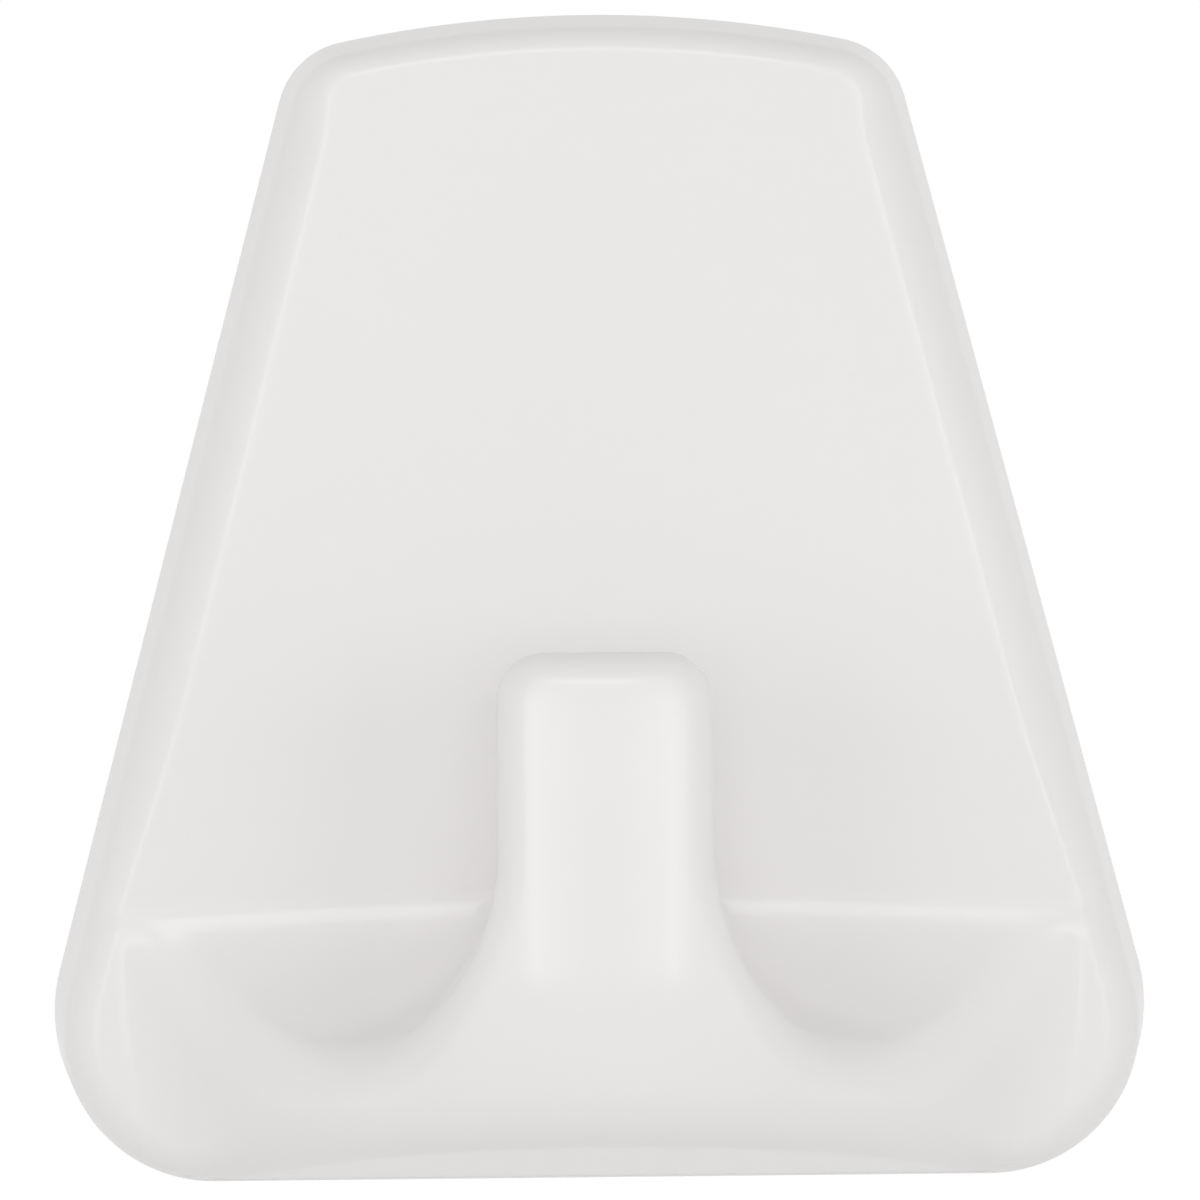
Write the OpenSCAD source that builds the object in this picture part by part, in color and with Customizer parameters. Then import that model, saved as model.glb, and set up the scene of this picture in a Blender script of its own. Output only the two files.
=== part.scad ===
// Removable adhesive wall hook: a moulded hook that slides down over a wall plate,
// which a stretch-release foam strip holds to the wall.
// The wall is the plane y = 0, the hook faces -y, and z = 0 is the middle of the strip.
// Heights are measured from the hook's lower edge, depths from the wall.

/* [Hook plate] */
// Width of the hook at its widest
hook_w = 60; // [54:0.5:66]
// Height of the hook
hook_h = 63.6; // [62:0.2:72]
// Lean of each flank from upright, in degrees
flank_a = 14.7; // [12:0.1:16]
// Radius of the lower corners
foot_r = 9.1; // [7:0.1:12]
// Radius of the upper corners
shoulder_r = 4.4; // [3.8:0.1:5.2]
// Radius of the arched top edge
crown_r = 68; // [55:1:120]
// Depth of the plate's face from the wall
face_d = 6.6; // [6.2:0.1:8]
// Gap between the wall and the rim of the hook
rim_gap = 0.6; // [0.3:0.1:1]
// Draft of the rim, in degrees
draft_a = 12; // [8:1:14]
// Radius where the rim rolls into the face
roll_r = 1.8; // [1.2:0.1:2]
// Thickness of the hook's walls
wall_t = 2; // [1.6:0.1:2.2]

/* [Tongue] */
// Width of the tongue
tongue_w = 11.4; // [10:0.2:14]
// Height of the tongue's tip
tongue_h = 28.8; // [26:0.2:34]
// Thickness of the tongue at the throat
tongue_t = 3.8; // [3.2:0.1:4.4]
// Thickness of the tongue at its tip
tip_t = 3; // [2.6:0.1:3.2]
// Radius of the tip's two corners, seen from the front
tip_r = 2.6; // [2:0.1:4]
// Rounding of the tongue's front edges
edge_r = 1.5; // [0.8:0.1:1.6]
// Rounding of the tongue's back edges
back_r = 0.8; // [0.5:0.1:1]
// Depth of the tongue's front from the wall
reach = 21; // [19:0.5:25]
// Height above which the tongue leans back
lean_h = 20.5; // [18:0.5:24]
// How far the tip leans back
lean_d = 1.3; // [0.5:0.1:2]

/* [Foot] */
// Width over which the foot bows out of the plate
bow_w = 46.5; // [44:0.5:50]
// Width of the shallow swell on both sides of the bow
swell_w = 53; // [52:0.2:54]
// Height of that swell, if it ran on under the bow
swell_d = 1.5; // [1:0.1:2]
// Depth over which the bow blends into the swell
blend_d = 3; // [1:0.1:4]
// Height below which the front sweeps under
sweep_h = 12.5; // [10:0.5:15]
// Radius of that sweep
sweep_r = 30; // [26:0.5:36]
// Height of the crease at its outer ends
crease_h = 14.6; // [13.5:0.1:16]
// Rise of the crease beside the tongue
crease_rise = 1; // [0.4:0.1:1.6]
// Turn of the surface at the crease, in degrees
crease_a = 16; // [12:1:24]
// Radius of the scooped floor below the crease
scoop_r = 12.5; // [11.5:0.5:15]
// Radius of the bites that leave the tongue standing
bite_r = 12.5; // [11:0.5:13]
// Height of the bites' centres
bite_h = 18.4; // [17.6:0.2:20]
// Height over which the bites blend into the floor's edge
blend_h = 1.5; // [0.5:0.1:2]
// How far above the floor's sharp edge its rounding starts
lift_h = 0.5; // [0.2:0.1:0.8]

/* [Wall plate] */
// Width of the wall plate over its flanges
plate_w = 26; // [23:0.5:26]
// Height of the wall plate
plate_h = 46; // [40:0.5:46]
// Room between the wall plate and the top of the hook
top_room = 8.4; // [7.4:0.1:10]
// Width of the wall plate's pad
pad_w = 20; // [18:0.5:20]
// Thickness of the flanges
flange_t = 1.3; // [1:0.1:1.4]
// Corner radius of the wall plate
plate_r = 2.5; // [1.5:0.1:3]
// Width of each groove moulded in the wall plate's front
groove_w = 3; // [2:0.5:4]
// Depth of those grooves
groove_d = 0.5; // [0.3:0.1:0.6]
// Number of grooves
groove_n = 3; // [1:1:3]

/* [Adhesive strip] */
// Margin of the wall plate's pad around the strip
strip_margin = 0.5; // [0.3:0.1:2]
// Corner radius of the strip
strip_r = 1.5; // [0.5:0.1:3]
// Thickness of the foam core
core_t = 0.9; // [0.6:0.05:1]
// Thickness of each adhesive skin
skin_t = 0.15; // [0.1:0.01:0.2]
// Width of the pull tab
tab_w = 15; // [12:0.5:17]
// Length of the pull tab below the strip
tab_h = 8.5; // [6:0.5:9]
// Thickness of the pull tab
tab_t = 0.5; // [0.3:0.05:0.6]
// Corner radius of the pull tab
tab_r = 3; // [1:0.5:4]

/* [Guide rails] */
// Running clearance in front of the wall plate
front_gap = 0.3; // [0.2:0.05:0.4]
// Running clearance behind the flanges
slide_gap = 0.2; // [0.15:0.01:0.3]
// Running clearance beside the flanges
side_gap = 0.3; // [0.2:0.05:0.4]
// Gap that is left at the top stop when the hook is home
seat_gap = 0.05; // [0.03:0.01:0.2]
// Thickness of the rails
rail_t = 1.8; // [1.2:0.1:1.8]
// Height of the rails' lower ends
rail_lo = 16; // [15:0.5:20]
// Depth of the rails' back faces from the wall
lip_d = 0.9; // [0.7:0.05:1]
// Width of the top stop
stop_w = 18; // [12:0.5:20]
// Thickness of the top stop
stop_t = 1.8; // [1.4:0.1:2]

/* [Hidden] */

// How far cuts run past the solids that they cut
overrun = 1;
// Segments of the outline's arcs
foot_n = 10;
shoulder_n = 6;
crown_n = 14;
// Segments of the roll, the foot's sections and the tongue
roll_n = 4;
section_n = 9;
edge_n = 4;
tongue_n = 12;
// How far the foot stands inside the rim, so that no two faces fall together
nest_gap = 0.3;
// How far the tongue's lower end is sunk into the foot
sink_d = 0.4;
// Rise between the levels at the tongue's root
root_step = 0.2;
// Steps that find where the bow meets the scooped floor
meet_n = 4;
// Shares of the foot's half width at which its sections stand outside the tongue
section_shares = [0.02, 0.06, 0.11, 0.17, 0.25, 0.34, 0.44, 0.55, 0.65, 0.74, 0.81, 0.87, 0.93, 1];
// Share of a groove's width that its corner radius takes
groove_share = 0.4;
// Shares of the half tongue at which the sections behind it stand
neck_shares = [-1, -0.6, 0, 0.6, 1];
// Least share of the free depth that a rounded crest may take
crest_share = 0.8;

// Stack of the strip and the wall plate, as depths from the wall
core_d = skin_t;
bond_d = core_d + core_t;
plate_d = bond_d + skin_t;
inner_d = face_d - wall_t;
plate_front = inner_d - front_gap;
flange_d = plate_front - flange_t;
notch_d = plate_front + slide_gap;
plate_top = hook_h - top_room;
plate_foot = plate_top - plate_h;
strip_w = pad_w - 2 * strip_margin;
strip_h = plate_h - 2 * strip_margin;
strip_foot = plate_foot + strip_margin;
mount_h = strip_foot + strip_h / 2;

// Centres of the outline's arcs
foot_c = [hook_w / 2 - foot_r, foot_r];
crown_c = [0, hook_h - crown_r];
flank_n = [cos(flank_a), sin(flank_a)];
flank_d = foot_c * flank_n + foot_r;
crown_turn = asin((flank_d - shoulder_r - crown_c[1] * flank_n[1]) / (crown_r - shoulder_r)) - flank_a;
shoulder_c = crown_c + (crown_r - shoulder_r) * [sin(crown_turn), cos(crown_turn)];

// Inset of the rim's wall, and where the roll starts
wall_inset = wall_t / cos(draft_a);
roll_d = face_d - roll_r;
roll_inset = (roll_d - rim_gap) * tan(draft_a) + roll_r / cos(draft_a);

// The bow of the foot and the scooped floor
bow_push = reach - face_d;
bow_r = (pow(bow_w / 2, 2) + pow(bow_push, 2)) / (2 * bow_push);
bite_x = tongue_w / 2 + bite_r;
lean_r = pow(tongue_h - lean_h, 2) / (2 * lean_d);

// The throat behind the tongue
throat_r = (reach - tongue_t - face_d) / 2;
throat_d = face_d + throat_r;
throat_floor = bite_h - throat_r;
tongue_foot = throat_floor - wall_t / 2;
neck_top = throat_floor + root_step;
tongue_root = neck_top + root_step;

// The guide rails
rail_x = plate_w / 2 + side_gap;
lip_x = pad_w / 2 + side_gap;
rail_hi = plate_top - stop_t;

function arc(c, r, from, to, n) =
    [for (k = [0 : n]) c + r * [cos(from + (to - from) * k / n), sin(from + (to - from) * k / n)]];

function mirrored(points) = [for (k = [len(points) - 1 : -1 : 0]) [-points[k][0], points[k][1]]];

function inside(points) = [for (k = [1 : len(points) - 2]) points[k]];

// Right half of the hook's outline, from the foot up to the crown
// The lower side stays square as far as the roll, in front of the wall plate that leaves through it.
function drop(inset) = min(inset, rim_inset(roll_d));

function flank(inset) = concat(
    arc(foot_c + drop(inset) * [tan(flank_a), -1], foot_r - inset, -90, flank_a, foot_n),
    arc(shoulder_c, shoulder_r - inset, flank_a, 90 - crown_turn, shoulder_n));

function outline(inset) = concat(
    flank(inset),
    inside(arc(crown_c, crown_r - inset, 90 - crown_turn, 90 + crown_turn, crown_n)),
    mirrored(flank(inset)));

// A ring at one depth, and the rim's inset at a depth
function ring(points, depth) = [for (p = points) place(p[0], depth, p[1])];

function place(x, depth, height) = [x, -depth, height - mount_h];

function rim_inset(depth) = (depth - rim_gap) * tan(draft_a);

function roll_ring(a) = ring(outline(roll_inset - roll_r * cos(a)), roll_d + roll_r * sin(a));

// The larger of two values, blended where they differ by less than a span
function blended(a, b, span) = max(a, b) + pow(max(0, span - abs(a - b)), 2) / (4 * span);

// How far the front stands back at a height: it sweeps under at the foot and leans back at the tip
function swept(height) = sweep_r - sqrt(pow(sweep_r, 2) - pow(max(0, sweep_h - height), 2));

function leant(height) = height <= lean_h ? 0 : pow(height - lean_h, 2) / (2 * lean_r);

function bowed(x, inset) = reach - bow_r + sqrt(max(0, pow(bow_r - inset, 2) - x * x));

function swelled(x, inset) = face_d - inset + swell_d * (1 - pow(2 * x / swell_w, 2));

function front(x, height, inset) =
    blended(bowed(x, inset), swelled(x, inset), blend_d) - swept(height - inset) - leant(height);

// The scooped floor: a hollow arc that starts at the crease
function crease(x) = crease_h + crease_rise * (1 - pow(2 * x / swell_w, 2));

function scoop_up(x) = crease(x) + scoop_r * sin(crease_a);

function scoop_top(x, inset) =
    scoop_up(x) - sqrt(pow(scoop_r + inset, 2) - pow(scoop_r * cos(crease_a) + inset, 2));

function floor_depth(x, height, inset) =
    face_d + scoop_r * cos(crease_a) - sqrt(pow(scoop_r + inset, 2) - pow(height - scoop_up(x), 2));

function floor_height(x, depth, inset) =
    scoop_up(x) - sqrt(max(0, pow(scoop_r + inset, 2) - pow(face_d + scoop_r * cos(crease_a) - depth, 2)));

// The crest: where the bow meets the bite or the floor, whichever is higher
function meeting(x, inset, height, steps) =
    steps == 0 ? height : meeting(x, inset, floor_height(x, front(x, height, inset), inset), steps - 1);

function bite_span(x, inset) = pow(bite_r + inset, 2) - pow(abs(x) - bite_x, 2);

function bite_crest(x, inset) = bite_h - sqrt(max(0, bite_span(x, inset)));

function lifted(sharp, start) = sharp + min(lift_h, (start - sharp) / 2);

function crest(x, inset, cap) =
    let (start = scoop_top(x, inset))
    min(start, blended(
        min(cap, bite_crest(x, inset)),
        lifted(meeting(x, inset, sweep_h / 2, meet_n), start),
        blend_h));

// One upright section of the foot, counted from the wall side over the floor and down the front
function section(x, inset, cap, back) =
    let (
        start = scoop_top(x, inset),
        top = crest(x, inset, cap),
        free = top < cap ? max(0, front(x, top, inset) - floor_depth(x, top, inset)) : 0,
        round_d = min(edge_r, crest_share * free),
        steep = (bite_r + inset) / sqrt(max(bite_span(x, inset), pow(edge_r, 2))),
        round_h = min(round_d * steep, top * (1 - crest_share) + edge_r)
    )
    concat(
        [place(x, back, -overrun), place(x, back, start)],
        [for (k = [0 : section_n])
            let (h = start + (top - start) * k / section_n)
            place(x, floor_depth(x, h, inset), h)],
        [for (k = [0 : edge_n])
            let (
                a = 90 * k / edge_n,
                h = top - round_h * (1 - cos(a))
            )
            place(x, front(x, h, inset) - round_d * (1 - sin(a)), h)],
        [for (k = [1 : section_n])
            let (h = (top - round_h) * (1 - k / section_n) - overrun * k / section_n)
            place(x, front(x, h, inset), h)]);

// Solid through closed rings of equal length
module skin(rings) {
    n = len(rings[0]);
    last = len(rings) - 1;
    sides = [for (j = [0 : last - 1], i = [0 : n - 1])
        let (a = j * n + i, b = j * n + (i + 1) % n)
        each [[a, a + n, b + n], [a, b + n, b]]];
    ends = [[for (i = [0 : n - 1]) i], [for (i = [n - 1 : -1 : 0]) last * n + i]];
    polyhedron([for (r = rings) each r], concat(sides, ends));
}

// Upright plate of an outline between two depths
module slab(from, to) {
    translate([0, -from, -mount_h])
        rotate([90, 0, 0])
            linear_extrude(to - from)
                children();
}

module rounded(w, h, r) {
    translate([-w / 2, r])
        square([w, h - 2 * r]);
    translate([r - w / 2, 0])
        square([w - 2 * r, h]);
    for (x = [r - w / 2, w / 2 - r], y = [r, h - r])
        translate([x, y])
            circle(r, $fn = 32);
}

module plate_outer() {
    skin(concat(
        [ring(outline(0), rim_gap)],
        [for (k = [0 : roll_n]) roll_ring(draft_a + (90 - draft_a) * k / roll_n)]));
}

module plate_cavity() {
    skin([
        ring(outline(wall_inset + rim_inset(-overrun)), -overrun),
        ring(outline(wall_inset + rim_inset(inner_d)), inner_d)]);
}

// Block with the rim's draft that holds the foot
module drafted(inset, from) {
    skin([for (depth = [from, reach + overrun])
        ring(outline(inset + rim_inset(depth)), depth)]);
}

// The foot without its tongue: a bowed front, scooped on both sides
module foot(half, inset, cap, back) {
    neck = tongue_w / 2;
    outer = [for (s = section_shares) neck + (half - neck) * s];
    inner = [for (s = neck_shares) neck * s];
    xs = concat([for (k = [len(outer) - 1 : -1 : 0]) -outer[k]], inner, outer);
    intersection() {
        skin([for (x = xs) section(x, inset, cap, back)]);
        drafted(nest_gap + inset / cos(draft_a), back);
    }
}

// The throat: a round-bottomed slot between the plate and the tongue
module throat() {
    translate([-hook_w / 2, 0, -mount_h])
        rotate([90, 0, 90])
            linear_extrude(hook_w)
                union() {
                    translate([-throat_d, bite_h])
                        circle(throat_r, $fn = 48);
                    translate([-throat_d - throat_r, bite_h])
                        square([2 * throat_r, tongue_h]);
                }
}

// One level of the tongue, rounded at its corners and towards its tip
function tongue_ring(height) =
    let (
        corner = max(0, height - (tongue_h - tip_r)),
        flare = bite_r - sqrt(pow(bite_r, 2) - pow(max(0, bite_h - height), 2)),
        half = tongue_w / 2 + flare - tip_r + sqrt(max(0, pow(tip_r, 2) - pow(corner, 2))),
        brow = max(0, height - (tongue_h - edge_r)),
        sunk = sink_d * max(0, 1 - (height - tongue_foot) / (throat_floor - tongue_foot)),
        bare = front(0, height, 0) - sunk - edge_r + sqrt(max(0, pow(edge_r, 2) - pow(brow, 2))),
        rise = max(0, (height - throat_floor) / (tongue_h - throat_floor)),
        tail = front(0, height, 0) - tongue_t - (tip_t - tongue_t) * rise,
        cheek = bare - front(0, height, 0) + front(half - edge_r, height, 0),
        level = [
            arc([edge_r - half, edge_r - cheek], edge_r, 180, 270, edge_n),
            [[0, -bare]],
            arc([half - edge_r, edge_r - cheek], edge_r, 270, 360, edge_n),
            arc([half - back_r, -tail - back_r], back_r, 0, 90, edge_n),
            arc([back_r - half, -tail - back_r], back_r, 90, 180, edge_n)]
    )
    [for (points = level, p = points) [p[0], p[1], height - mount_h]];

// Levels of the tongue: one sunk into the foot, the rest closer together towards the tip
function tongue_level(k) =
    k == 0 ? tongue_foot : tongue_root + (tongue_h - tongue_root) * sin(90 * (k - 1) / (tongue_n - 1));

module tongue() {
    for (k = [0 : tongue_n - 1])
        hull()
            skin([tongue_ring(tongue_level(k)), tongue_ring(tongue_level(k + 1))]);
}

// Opening at the lower back through which the wall plate leaves
module lower_notch() {
    slab(-overrun, notch_d)
        translate([-rail_x, -overrun])
            square([2 * rail_x, overrun + rail_lo / 2]);
}

// Guide rails with lips that reach behind the flanges, and the stop above them
module guides() {
    for (side = [0, 1])
        mirror([side, 0, 0]) {
            slab(lip_d, inner_d + wall_t / 2)
                translate([rail_x, rail_lo])
                    square([rail_t, rail_hi - rail_lo]);
            slab(lip_d, flange_d - slide_gap)
                translate([lip_x, rail_lo])
                    square([rail_x + rail_t / 2 - lip_x, rail_hi - rail_lo]);
        }
    slab(plate_d, inner_d + wall_t / 2)
        translate([-stop_w / 2, plate_top + seat_gap])
            square([stop_w, stop_t]);
}

module hook_shell() {
    color("whitesmoke") {
        difference() {
            union() {
                plate_outer();
                difference() {
                    foot(swell_w / 2, 0, neck_top, face_d - wall_t / 2);
                    throat();
                }
                tongue();
            }
            plate_cavity();
            foot(bow_w / 2 - wall_t, wall_t, throat_floor - wall_t, inner_d - wall_t / 2);
            lower_notch();
        }
        guides();
    }
}

module wall_plate() {
    pitch = pad_w / groove_n;
    color("gainsboro")
        difference() {
            union() {
                slab(plate_d, plate_front)
                    translate([0, plate_foot])
                        rounded(pad_w, plate_h, plate_r);
                slab(flange_d, plate_front)
                    translate([0, plate_foot])
                        rounded(plate_w, plate_h, plate_r);
            }
            for (k = [0 : groove_n - 1])
                slab(plate_front - groove_d, plate_front + overrun)
                    translate([(k + 1 / 2) * pitch - pad_w / 2, plate_foot + plate_r])
                        rounded(groove_w, plate_h - 2 * plate_r, groove_w * groove_share);
        }
}

module strip_layer(from, to) {
    slab(from, to)
        translate([0, strip_foot])
            rounded(strip_w, strip_h, strip_r);
}

module plate_adhesive() {
    color("lightgray")
        strip_layer(bond_d, plate_d);
}

module strip_core() {
    color("white")
        strip_layer(core_d, bond_d);
}

module wall_adhesive() {
    color("lightgray")
        strip_layer(0, core_d);
}

// Dry tab under the strip, square where it joins the foam and round below
module pull_tab() {
    middle = core_d + core_t / 2;
    color("lightsteelblue")
        slab(middle - tab_t / 2, middle + tab_t / 2)
            translate([0, strip_foot - tab_h])
                union() {
                    rounded(tab_w, tab_h, tab_r);
                    translate([-tab_w / 2, tab_h / 2])
                        square([tab_w, tab_h / 2]);
                }
}

hook_shell();
wall_plate();
plate_adhesive();
strip_core();
wall_adhesive();
pull_tab();
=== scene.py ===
import math

import bpy
import numpy as np
from mathutils import Matrix, Vector


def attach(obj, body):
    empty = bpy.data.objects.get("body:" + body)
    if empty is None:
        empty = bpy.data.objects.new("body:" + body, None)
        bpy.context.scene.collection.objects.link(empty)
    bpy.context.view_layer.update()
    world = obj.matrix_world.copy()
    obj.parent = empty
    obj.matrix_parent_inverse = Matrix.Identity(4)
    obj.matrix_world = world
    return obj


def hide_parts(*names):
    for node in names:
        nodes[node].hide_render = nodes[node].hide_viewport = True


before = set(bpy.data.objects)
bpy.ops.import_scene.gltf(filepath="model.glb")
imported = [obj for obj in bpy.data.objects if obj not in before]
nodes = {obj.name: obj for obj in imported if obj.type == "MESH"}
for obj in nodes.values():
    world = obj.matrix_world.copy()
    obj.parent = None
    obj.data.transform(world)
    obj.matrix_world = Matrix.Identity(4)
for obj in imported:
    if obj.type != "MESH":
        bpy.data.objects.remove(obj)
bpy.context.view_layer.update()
mm = 0.001
print("frame loaded")


# Colour and node helpers

def linear(code):
    parts = [int(code[k:k + 2], 16) / 255 for k in (1, 3, 5)]
    return tuple(p / 12.92 if p <= 0.04045 else ((p + 0.055) / 1.055) ** 2.4 for p in parts) + (1.0,)


def addNode(tree, kind, links=None, **values):
    node = tree.nodes.new(kind)
    sockets = values.pop("sockets", {})
    for name, value in values.items():
        setattr(node, name, value)
    setSockets(tree, node, links or {}, sockets)
    return node


def setSockets(tree, node, links, values):
    for name, value in values.items():
        node.inputs[name].default_value = value
    for name, source in links.items():
        tree.links.new(source, node.inputs[name])


def newMaterial(name):
    material = bpy.data.materials.new(name)
    material.use_nodes = True
    tree = material.node_tree
    tree.nodes.clear()
    surface = addNode(tree, "ShaderNodeBsdfPrincipled")
    addNode(tree, "ShaderNodeOutputMaterial", {"Surface": surface.outputs["BSDF"]})
    return material, tree, surface


def objectPlace(tree):
    return addNode(tree, "ShaderNodeTexCoord").outputs["Object"]


def noise(tree, vector, size, detail, gain):
    # size is the pattern's pitch in millimetres
    node = addNode(tree, "ShaderNodeTexNoise", {"Vector": vector},
                   sockets={"Scale": 1 / (size * mm), "Detail": detail, "Roughness": gain})
    return node.outputs["Fac"]


# Most of a noise pattern lies between these two values
noiseLow, noiseHigh = 0.3, 0.7


def spread(tree, value, low, high):
    node = addNode(tree, "ShaderNodeMapRange", {"Value": value},
                   sockets={"From Min": noiseLow, "From Max": noiseHigh, "To Min": low, "To Max": high})
    return node.outputs["Result"]


def tinted(tree, factor, dark, light):
    # A mix node has its two colours at inputs 6 and 7 and the mixed one at output 2
    mix = addNode(tree, "ShaderNodeMix", {"Factor": factor}, data_type="RGBA")
    mix.inputs[6].default_value = linear(dark)
    mix.inputs[7].default_value = linear(light)
    return mix.outputs[2]


def bumped(tree, height, depth, normal=None):
    # depth is the relief in millimetres
    links = {"Height": height}
    if normal is not None:
        links["Normal"] = normal
    node = addNode(tree, "ShaderNodeBump", links, sockets={"Strength": 1.0, "Distance": depth * mm})
    return node.outputs["Normal"]


# Materials: sizes and depths in millimetres, a roughness is one value or a range

# Injection-moulded white ABS off a polished tool: even satin gloss, faint flow waviness, no grain
glossLook = {
    "tones": ("#E9E7E6", "#EBE9E8"), "flowSize": 14, "flowDetail": 1.0, "flowGain": 0.5, "flowDepth": 0.008,
    "fineSize": 0.35, "fineDetail": 3.0, "fineGain": 0.6, "fineDepth": 0.0004,
    "rough": (0.42, 0.48), "ior": 1.53, "coat": 0.3, "coatRough": 0.12,
}


def glossAbs(look):
    material, tree, surface = newMaterial("moulded_white_abs")
    place = objectPlace(tree)
    flow = noise(tree, place, look["flowSize"], look["flowDetail"], look["flowGain"])
    fine = noise(tree, place, look["fineSize"], look["fineDetail"], look["fineGain"])
    waves = bumped(tree, flow, look["flowDepth"])
    links = {
        "Base Color": tinted(tree, flow, *look["tones"]), "Roughness": spread(tree, fine, *look["rough"]),
        "Normal": bumped(tree, fine, look["fineDepth"], waves),
    }
    values = {"IOR": look["ior"], "Coat Weight": look["coat"], "Coat Roughness": look["coatRough"]}
    setSockets(tree, surface, links, values)
    return material


def grain(tree, place, look):
    return noise(tree, place, look["size"], look["detail"], look["gain"])


def cells(tree, place, look):
    node = addNode(tree, "ShaderNodeTexVoronoi", {"Vector": place}, sockets={"Scale": 1 / (look["size"] * mm)})
    return node.outputs["Distance"]


def streaks(tree, place, look):
    # Drawn out along the strip
    along = addNode(tree, "ShaderNodeMapping", {"Vector": place}, sockets={"Scale": (1.0, 1.0, look["stretch"])})
    return grain(tree, along.outputs["Vector"], look)


def patterned(name, pattern, look):
    # One pattern gives the tone, the relief and, over a range, the roughness
    material, tree, surface = newMaterial(name)
    value = pattern(tree, objectPlace(tree), look)
    links = {"Base Color": tinted(tree, value, *look["tones"])}
    values = {"IOR": look["ior"]}
    if isinstance(look["rough"], tuple):
        links["Roughness"] = spread(tree, value, *look["rough"])
    else:
        values["Roughness"] = look["rough"]
    links["Normal"] = bumped(tree, value, look["depth"])
    setSockets(tree, surface, links, values)
    return material


# The wall plate's ABS off a spark-eroded tool: fine even grain
sparkLook = {
    "tones": ("#DBDBD9", "#E6E6E4"), "size": 0.25, "detail": 4.0, "gain": 0.65, "depth": 0.012,
    "rough": (0.48, 0.6), "ior": 1.53,
}
# Closed-cell polyethylene foam, die cut
foamLook = {"tones": ("#D8D8D2", "#F0F0EC"), "size": 0.35, "depth": 0.05, "rough": 0.85, "ior": 1.45}
# Acrylic adhesive coated on the foam: slightly yellow, tacky sheen with coating streaks
glueLook = {
    "tones": ("#D9D7CB", "#E4E2D8"), "size": 0.8, "detail": 3.0, "gain": 0.5, "stretch": 0.08, "depth": 0.01,
    "rough": (0.3, 0.45), "ior": 1.47,
}
# Matte polyester film of the dry pull tab
filmLook = {
    "tones": ("#C3CBD3", "#D0D7DD"), "size": 0.5, "detail": 3.0, "gain": 0.5, "depth": 0.004,
    "rough": 0.5, "ior": 1.6,
}


# The hook's moulding, in millimetres: x to the right, depth from the wall, height from the lower edge
# A pair named as a ramp gives the values where a change starts and where it is complete

shell = {
    # Outline and plate, and the flanks' wider roll
    "width": 60.0, "height": 63.6, "flank": math.radians(14.7), "footR": 9.1, "shoulderR": 4.4, "crownR": 68.0,
    "face": 6.6, "rimGap": 0.6, "draft": math.radians(12), "rollR": 1.8, "wall": 2.0, "softR": 0.25,
    "flankRollR": 2.75, "crownRamp": (61, 56), "footRamp": (12, 26), "mountH": 32.2,
    # Tongue and throat
    "tongueW": 11.4, "tongueH": 28.8, "tongueT": 3.8, "tipT": 3.0, "tipR": 2.6, "edgeR": 1.5, "backR": 0.8,
    "reach": 21.0, "leanH": 20.5, "leanD": 1.3, "biteR": 12.5, "biteH": 18.4, "throatBack": 1.5,
    # Bowed front and the low step beside it
    "bowW": 46.5, "flankX": 20.0, "sweepH": 12.5, "sweepR": 30.0, "stepD": 0.28, "blendD": 3.0,
    "outerEdgeR": 4.0, "edgeRamp": (6.2, 12.2), "underR": 4.5, "underRamp": (23, 18), "turnMost": 0.9,
    # Scoop, crease and valley
    "creaseW": 53.0, "creaseH": 14.6, "creaseRise": 1.0, "creaseA": math.radians(16), "scoopR": 12.5,
    "creaseFillet": 3.0, "neckFillet": 0.15, "neckRamp": (5, 6.2), "rimRamp": (0.1, 2.1),
    "valleyR": 2.2, "valleyLeast": 0.8, "valleyRamp": (0, 7), "meetRamp": (0, 2), "meetMost": 0.98,
    "nest": 0.15, "nestRamp": (20, 24),
    # Hollow back, rails, top stop and the gate that clears the wall plate
    "plateW": 26.0, "padW": 20.0, "plateTop": 55.2, "frontGap": 0.3, "slideGap": 0.2, "sideGap": 0.3,
    "seatGap": 0.05, "flangeT": 1.3, "padD": 1.2, "railT": 1.8, "railLo": 16.0, "lipD": 0.9, "stopW": 18.0,
    "stopT": 1.8, "hollowR": 0.5, "ribR": 0.15, "ribFillet": 0.2, "gateR": 0.1, "gateSoftR": 0.15, "beyond": -2,
    "lap": 1,
}


def roundMax(a, b, r, c=0.0):
    # Meeting of two solids with a rounded edge; c is the cosine between their outward normals
    a2, b2 = a + r, b + r
    corner = (a2 > c * b2) & (b2 > c * a2)
    edge = np.sqrt(np.maximum(a2 * a2 + b2 * b2 - 2 * c * a2 * b2, 0) / (1 - c * c)) - r
    return np.where(corner, edge, np.maximum(a, b))


def roundMin(a, b, r, c=0.0):
    return -roundMax(-a, -b, r, c)


def ramp(value, span):
    # 0 at the span's first value, 1 at its second, eased at both ends
    t = np.clip((value - span[0]) / (span[1] - span[0]), 0, 1)
    return t * t * (3 - 2 * t)


def blockField(x, d, h, low, high, r):
    mid = [(a + b) / 2 for a, b in zip(low, high)]
    half = [(b - a) / 2 - r for a, b in zip(low, high)]
    q = [np.abs(p - m) - s for p, m, s in zip((x, d, h), mid, half)]
    outside = np.sqrt(sum(np.maximum(p, 0) ** 2 for p in q))
    return outside + np.minimum(np.maximum(np.maximum(q[0], q[1]), q[2]), 0) - r


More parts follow.
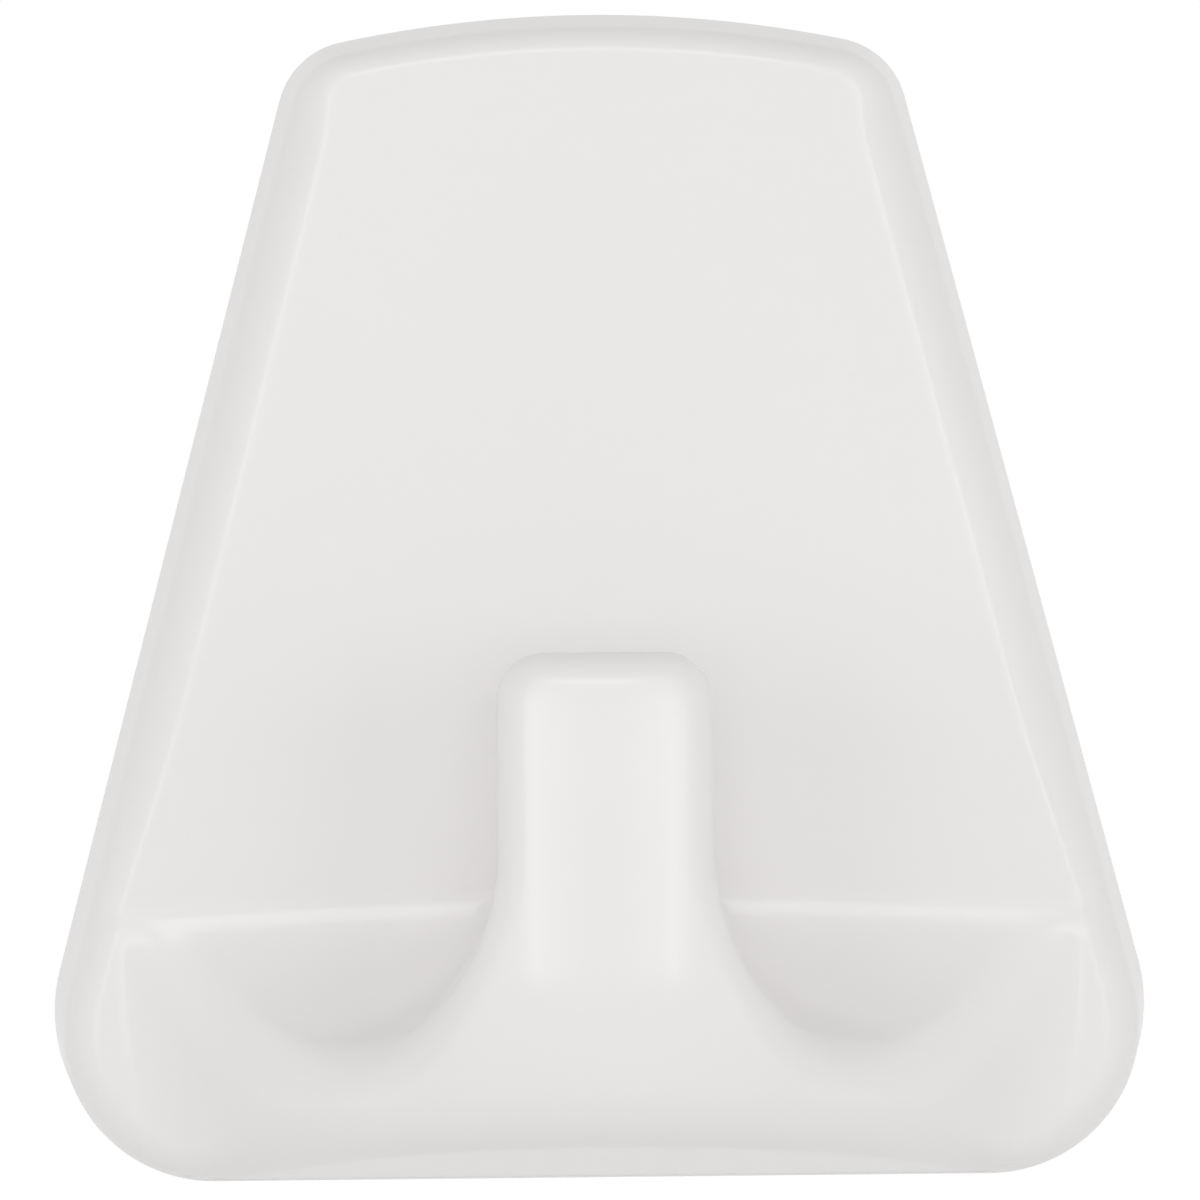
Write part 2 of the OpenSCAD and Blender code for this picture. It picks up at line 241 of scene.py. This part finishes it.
def outlineField(s, x, h, drop):
    # Distance to the outline: feet, flanks, shoulders and crown; drop keeps the lower side square
    nx, nh = math.cos(s["flank"]), math.sin(s["flank"])
    px = np.abs(x)
    footX, footH = s["width"] / 2 - s["footR"], s["footR"]
    flankD = nx * footX + nh * footH + s["footR"]
    crownH = s["height"] - s["crownR"]
    span = s["crownR"] - s["shoulderR"]
    turn = math.asin((flankD - s["shoulderR"] - crownH * nh) / span) - s["flank"]
    mx, mh = math.sin(turn), math.cos(turn)
    crown = np.hypot(px, h - crownH) - s["crownR"]
    out = np.maximum(np.maximum(-(h + drop), nx * px + nh * h - flankD), crown)
    vx, vh = px - footX - drop * nh / nx, h - footH + drop
    out = np.where((vx >= 0) & (vx * nh - vh * nx >= 0), np.hypot(vx, vh) - s["footR"], out)
    ux, uh = px - span * mx, h - crownH - span * mh
    atShoulder = (nx * uh - nh * ux >= 0) & (ux * mh - uh * mx >= 0)
    return np.where(atShoulder, np.hypot(ux, uh) - s["shoulderR"], out)


def frontField(s, x, d, h):
    # The bowed front, which sweeps under at the foot and leans back at the tip, and the low step beside it
    # Gives the distance and the parts of its normal along depth and height
    push = s["reach"] - s["face"]
    bowR = ((s["bowW"] / 2) ** 2 + push ** 2) / (2 * push)
    px = np.abs(x)
    curved = np.minimum(px, s["flankX"])
    arch = np.sqrt(bowR ** 2 - curved ** 2)
    tilt = curved / arch
    down = np.maximum(s["sweepH"] - h, 0)
    under = np.sqrt(s["sweepR"] ** 2 - down ** 2)
    leanR = (s["tongueH"] - s["leanH"]) ** 2 / (2 * s["leanD"])
    lean = np.maximum(h - s["leanH"], 0)
    back = s["sweepR"] - under + lean ** 2 / (2 * leanR)
    slope = down / under - lean / leanR
    bow = s["reach"] - bowR + arch - tilt * (px - curved) - back
    step = s["face"] + s["stepD"]
    near = np.maximum(s["blendD"] - np.abs(bow - step), 0) / (2 * s["blendD"])
    share = np.where(bow > step, 1 - near, near)
    depth = np.maximum(bow, step) + s["blendD"] * near ** 2
    size = np.sqrt(1 + (share * tilt) ** 2 + (share * slope) ** 2)
    return (d - depth) / size, 1 / size, -share * slope / size


def throatField(s, d, h):
    # Its front wall follows the tongue's back, its back wall lies inside the plate
    throatR = (s["reach"] - s["tongueT"] - s["face"]) / 2
    throatD = s["face"] + throatR
    rise = np.clip((h - s["biteH"] + throatR) / (s["tongueH"] - s["biteH"] + throatR), 0, 1)
    leanR = (s["tongueH"] - s["leanH"]) ** 2 / (2 * s["leanD"])
    shift = np.maximum(h - s["leanH"], 0) ** 2 / (2 * leanR) + (s["tipT"] - s["tongueT"]) * rise
    ahead = d - throatD + shift * np.clip((d - throatD) / throatR, 0, 1)
    behind = (d - throatD) * throatR / (throatR + s["throatBack"])
    return np.hypot(np.where(d > throatD, ahead, behind), np.minimum(h - s["biteH"], 0)) - throatR


def footField(s, x, d, h):
    px = np.abs(x)
    front, frontD, frontH = frontField(s, x, d, h)
    crease = s["creaseH"] + s["creaseRise"] * (1 - (2 * px / s["creaseW"]) ** 2)
    floorD = d - s["face"] - s["scoopR"] * math.cos(s["creaseA"])
    floorH = np.minimum(h - crease - s["scoopR"] * math.sin(s["creaseA"]), 0)
    reach = np.hypot(floorD, floorH)
    floor = s["scoopR"] - reach
    bite = s["biteR"] - np.hypot(px - s["tongueW"] / 2 - s["biteR"], np.minimum(h - s["biteH"], 0))
    tongue = roundMax(bite, h - s["tongueH"], s["tipR"])
    tongue = roundMax(tongue, -throatField(s, d, h), s["backR"])
    edge = s["edgeR"] + (s["outerEdgeR"] - s["edgeR"]) * ramp(px, s["edgeRamp"])
    # The 0.1 keeps the division safe on the scoop's axis
    meet = -(frontD * floorD + frontH * floorH) / np.maximum(reach, 0.1)
    meet = np.clip(meet, 0, s["meetMost"]) * ramp(tongue - floor, s["meetRamp"])
    valley = s["valleyLeast"] + (s["valleyR"] - s["valleyLeast"]) * ramp(d - s["face"], s["valleyRamp"])
    return roundMax(front, roundMin(floor, tongue, valley), edge, meet), frontD, frontH


# Half the span, in millimetres, over which the foot's facing is measured
probe = 0.05


def shellField(s, x, d, h):
    cosD, tanD = math.cos(s["draft"]), math.tan(s["draft"])
    inner = s["face"] - s["wall"]
    notch = inner - s["frontGap"] + s["slideGap"]
    most = (s["face"] - s["rollR"] - s["rimGap"]) * tanD
    inset = (d - s["rimGap"]) * tanD
    outline = outlineField(s, x, h, np.minimum(inset, most))
    rim = (outline + inset) * cosD
    # The flanks' roll is wider than the crown's and the foot's
    wider = ramp(h, s["crownRamp"]) * ramp(h, s["footRamp"])
    roll = s["rollR"] + (s["flankRollR"] - s["rollR"]) * wider
    plate = roundMax(rim, d - s["face"], roll, math.sin(s["draft"]))
    px = np.abs(x)
    foot, frontD, frontH = footField(s, x, d, h)
    climb = footField(s, x, d + probe, h)[0] - footField(s, x, d - probe, h)[0]
    facing = np.clip(climb / (2 * probe), 0, s["meetMost"])
    # The foot's own sides follow the rim; its lower edge is turned more softly than the rim's roll
    block = (outlineField(s, x, h, most) + s["nest"] * ramp(px, s["nestRamp"]) + inset) * cosD
    turned = np.clip(frontD * math.sin(s["draft"]) - frontH * cosD, 0, s["turnMost"])
    lower = s["rollR"] + (s["underR"] - s["rollR"]) * ramp(px, s["underRamp"])
    foot = roundMax(foot, block, lower, turned)
    fillet = s["creaseFillet"] * ramp(px, s["neckRamp"]) + s["neckFillet"]
    body = roundMin(plate, np.maximum(foot, inner + s["lap"] - d), fillet * ramp(-rim, s["rimRamp"]), facing)
    body = roundMax(body, s["rimGap"] - d, s["softR"])
    hollow = roundMax(rim + s["wall"], d - inner, s["hollowR"])
    core = np.maximum(foot + s["wall"], inner - s["lap"] - d)
    body = roundMax(body, -roundMin(hollow, core, s["hollowR"]), s["softR"])
    railX, lipX = s["plateW"] / 2 + s["sideGap"], s["padW"] / 2 + s["sideGap"]
    railHi, stopLo = s["plateTop"] - s["stopT"], s["plateTop"] + s["seatGap"]
    flange = inner - s["frontGap"] - s["flangeT"] - s["slideGap"]
    ribs = (
        (px, (railX, s["lipD"], s["railLo"]), (railX + s["railT"], inner + s["lap"], railHi)),
        (px, (lipX, s["lipD"], s["railLo"]), (railX + s["railT"], flange, railHi)),
        (x, (-s["stopW"] / 2, s["padD"], stopLo), (s["stopW"] / 2, inner + s["lap"], stopLo + s["stopT"])),
    )
    rib = np.minimum.reduce([blockField(side, d, h, low, high, s["ribR"]) for side, low, high in ribs])
    body = roundMin(body, rib, s["ribFillet"])
    gate = blockField(x, d, h, (-railX, s["beyond"], s["beyond"]), (railX, notch, s["railLo"] / 2), s["gateR"])
    return roundMax(body, -gate, s["gateSoftR"])


# The grid, in millimetres: each line's start, then the end and pitch of each stretch
# Points then step onto the surface in a few passes, none longer than stepMost

grid = {
    "halfX": (0, [(8, 0.36), (26.5, 0.42), (31, 0.36)]),
    "depth": (0.2, [(0.5, 0.3), (1.3, 0.13), (21.7, 0.36)]),
    "height": (-0.6, [(12.6, 0.4), (16.4, 0.2), (31, 0.4), (58, 0.6), (64.4, 0.36)]),
    "passes": 3, "stepMost": 0.2, "slopeLeast": 0.2, "slopeStep": 0.004,
}


def gridLine(start, stops):
    line = [start]
    for end, pitch in stops:
        first = line[-1]
        n = max(1, round((end - first) / pitch))
        line += [first + (end - first) * (k + 1) / n for k in range(n)]
    return np.array(line)


def shifted(index, axes, steps):
    cell = index.copy()
    for axis, step in zip(axes, steps):
        cell[:, axis] -= step
    return cell


def surfaceNet(field, lines):
    # One point in each cell that the surface crosses, one quad around each crossed grid edge
    value = field(*np.meshgrid(*lines, indexing="ij"))
    inside = value < 0
    shape = tuple(n - 1 for n in value.shape)
    total, count = np.zeros(shape + (3,)), np.zeros(shape)
    ring = ((0, 0), (1, 0), (1, 1), (0, 1))
    crossings = []
    for axis in range(3):
        near, far = [slice(None)] * 3, [slice(None)] * 3
        near[axis], far[axis] = slice(None, -1), slice(1, None)
        a, b = value[tuple(near)], value[tuple(far)]
        crossed = inside[tuple(near)] != inside[tuple(far)]
        index = np.argwhere(crossed)
        t = a[crossed] / (a[crossed] - b[crossed])
        point = np.stack([lines[k][index[:, k]] for k in range(3)], axis=1)
        point[:, axis] += t * np.diff(lines[axis])[index[:, axis]]
        others = [k for k in range(3) if k != axis]
        for steps in ring:
            cell = shifted(index, others, steps)
            good = np.all((cell >= 0) & (cell < np.array(shape)), axis=1)
            where = tuple(cell[good].T)
            np.add.at(total, where, point[good])
            np.add.at(count, where, 1)
        crossings.append((index, inside[tuple(near)][crossed], others))
    used = np.argwhere(count > 0)
    number = -np.ones(shape, int)
    number[tuple(used.T)] = np.arange(len(used))
    points = total[tuple(used.T)] / count[tuple(used.T)][:, None]
    faces = []
    for axis, (index, within, others) in enumerate(crossings):
        quad = np.stack([number[tuple(shifted(index, others, steps).T)] for steps in ring], axis=1)
        flip = within if axis != 1 else ~within
        quad[flip] = quad[flip][:, ::-1]
        faces.append(quad)
    return points, np.concatenate(faces)


def gradient(field, points, step):
    slopes = []
    for axis in range(3):
        ahead, behind = points.copy(), points.copy()
        ahead[:, axis] += step
        behind[:, axis] -= step
        slopes.append((field(*ahead.T) - field(*behind.T)) / (2 * step))
    return np.stack(slopes, axis=1)


def makeShell(s, g):
    def field(x, d, h):
        return shellField(s, x, d, h)

    half = gridLine(*g["halfX"])
    xs = np.concatenate([-half[:0:-1], half])
    points, faces = surfaceNet(field, (xs, gridLine(*g["depth"]), gridLine(*g["height"])))
    for _ in range(g["passes"]):
        slope = gradient(field, points, g["slopeStep"])
        size = np.maximum((slope ** 2).sum(axis=1, keepdims=True), g["slopeLeast"])
        points = points - np.clip(field(*points.T)[:, None] * slope / size, -g["stepMost"], g["stepMost"])
    slope = gradient(field, points, g["slopeStep"])
    normal = slope / np.maximum(np.linalg.norm(slope, axis=1, keepdims=True), 1e-6)
    place = np.stack([points[:, 0], -points[:, 1], points[:, 2] - s["mountH"]], axis=1) * mm
    normal = np.stack([normal[:, 0], -normal[:, 1], normal[:, 2]], axis=1)
    mesh = bpy.data.meshes.new("hookMoulding")
    mesh.from_pydata(place.tolist(), [], faces.tolist())
    mesh.shade_smooth()
    mesh.normals_split_custom_set_from_vertices(normal.tolist())
    piece = bpy.data.objects.new("hookMoulding", mesh)
    bpy.context.scene.collection.objects.link(piece)
    print("shell", len(place), "points", len(faces), "faces")
    return piece


hook = makeShell(shell, grid)
hook.data.materials.append(glossAbs(glossLook))
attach(hook, "hook")
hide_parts("hook_shell")


# The CAD nodes that keep their own shape

looks = {
    "wall_plate": patterned("spark_textured_abs", grain, sparkLook),
    "strip_core": patterned("closed_cell_foam", cells, foamLook),
    "pull_tab": patterned("matte_polyester_film", grain, filmLook),
}
looks["plate_adhesive"] = looks["wall_adhesive"] = patterned("coated_acrylic_adhesive", streaks, glueLook)
for name, material in looks.items():
    nodes[name].data.materials.clear()
    nodes[name].data.materials.append(material)
# Edges as a mould or a die leaves them, in millimetres
edges = {"wall_plate": 0.15, "pull_tab": 0.05}
sharpFrom = math.radians(40)
for name, radius in edges.items():
    bevel = nodes[name].modifiers.new("softEdges", "BEVEL")
    bevel.width, bevel.segments, bevel.limit_method = radius * mm, 2, "ANGLE"
    bevel.angle_limit = sharpFrom
    bevel.harden_normals = True
print("materials set")


# Stage: a pale floor below the hook, a white surround and soft lights
# Angles in degrees, frame height and aim in millimetres, the rest in metres

stage = {
    "distance": 0.40, "azimuth": -1.2, "elevation": 0.5, "roll": -0.5, "frameH": 66.1, "aimX": 0.2, "aimH": 31.4,
    "sensor": 36, "clip": 0.01, "floorZ": -0.10, "floorW": 3.0, "floorTone": 0.9, "floorRough": 0.9,
    "floorGlow": 0.45, "ambient": 0.57,
}
white = (1, 1, 1, 1)
# Each lamp's place, size and watts; all point at the origin
fills = {
    "frontKey": ((0.0, -0.26, 0.0), (0.09, 0.09), 0.052),
    "leftFill": ((-0.42, -0.12, -0.05), (0.3, 0.3), 0.224),
    "rightFill": ((0.42, -0.12, -0.05), (0.3, 0.3), 0.231),
    "topFill": ((0.0, -0.20, 0.40), (0.3, 0.3), 0.209),
    "leftFront": ((-0.30, -0.30, -0.02), (0.25, 0.25), 0.238),
    "rightFront": ((0.30, -0.30, -0.02), (0.25, 0.25), 0.256),
}
cards = {
    "leftCard": ((-0.17, -0.70, 0.02), (0.16, 0.6), 0.5),
    "rightCard": ((0.18, -0.70, 0.02), (0.16, 0.6), 0.5),
    "topCard": ((-0.01, -0.60, 0.40), (0.27, 0.12), 0.5),
    "leftStrip": ((-0.19, -0.69, 0.05), (0.03, 0.5), 0.2),
    "rightStrip": ((0.21, -0.69, 0.05), (0.03, 0.5), 0.2),
}


def joined(tree, operation, first, second):
    node = addNode(tree, "ShaderNodeMath", operation=operation)
    tree.links.new(first, node.inputs[0])
    tree.links.new(second, node.inputs[1])
    return node.outputs["Value"]


def seenDirectly(tree):
    # One for rays that show the surround itself: to the camera, in a reflection or through a clear piece
    path = addNode(tree, "ShaderNodeLightPath")
    seen = joined(tree, "MAXIMUM", path.outputs["Is Camera Ray"], path.outputs["Is Glossy Ray"])
    return joined(tree, "MAXIMUM", seen, path.outputs["Is Transmission Ray"])


def makeFloor():
    w, z, tone = stage["floorW"], stage["floorZ"], stage["floorTone"]
    mesh = bpy.data.meshes.new("floor")
    mesh.from_pydata([(-w, -w, z), (w, -w, z), (w, w, z), (-w, w, z)], [], [(0, 1, 2, 3)])
    sheet = bpy.data.objects.new("floor", mesh)
    bpy.context.scene.collection.objects.link(sheet)
    material, tree, surface = newMaterial("white_floor")
    glow = addNode(tree, "ShaderNodeMapRange", {"Value": seenDirectly(tree)}, sockets={"To Max": stage["floorGlow"]})
    values = {"Base Color": (tone, tone, tone, 1), "Roughness": stage["floorRough"], "Emission Color": white}
    setSockets(tree, surface, {"Emission Strength": glow.outputs["Result"]}, values)
    mesh.materials.append(material)


def makeWorld():
    world = bpy.data.worlds.new("studio")
    world.use_nodes = True
    tree = world.node_tree
    strength = addNode(tree, "ShaderNodeMapRange", {"Value": seenDirectly(tree)},
                       sockets={"To Min": stage["ambient"], "To Max": 1.0})
    setSockets(tree, tree.nodes["Background"], {"Strength": strength.outputs["Result"]}, {"Color": white})
    bpy.context.scene.world = world


def addLamp(name, place, size, power, diffuse=True, glossy=True):
    data = bpy.data.lights.new(name, "AREA")
    data.shape = "RECTANGLE"
    data.size, data.size_y = size
    data.energy = power
    lamp = bpy.data.objects.new(name, data)
    lamp.location = place
    lamp.rotation_euler = (-Vector(place)).to_track_quat("-Z", "Y").to_euler()
    lamp.visible_diffuse, lamp.visible_glossy, lamp.visible_camera = diffuse, glossy, False
    bpy.context.scene.collection.objects.link(lamp)


def addCamera():
    aim = Vector((stage["aimX"] * mm, 0, (stage["aimH"] - shell["mountH"]) * mm))
    az, el = math.radians(stage["azimuth"]), math.radians(stage["elevation"])
    away = Vector((math.sin(az) * math.cos(el), -math.cos(az) * math.cos(el), math.sin(el)))
    data = bpy.data.cameras.new("camera")
    data.sensor_width = stage["sensor"]
    data.lens = stage["sensor"] * stage["distance"] / (stage["frameH"] * mm)
    data.clip_start = stage["clip"]
    camera = bpy.data.objects.new("camera", data)
    turn = (-away).to_track_quat("-Z", "Y").to_matrix().to_4x4()
    roll = Matrix.Rotation(math.radians(stage["roll"]), 4, "Z")
    camera.matrix_world = Matrix.Translation(aim + away * stage["distance"]) @ turn @ roll
    bpy.context.scene.collection.objects.link(camera)
    bpy.context.scene.camera = camera


makeFloor()
makeWorld()
addCamera()
for name, (place, size, power) in fills.items():
    addLamp(name, place, size, power, glossy=False)
for name, (place, size, power) in cards.items():
    addLamp(name, place, size, power, diffuse=False)
bpy.context.scene.view_settings.view_transform = "Standard"
print("stage set")
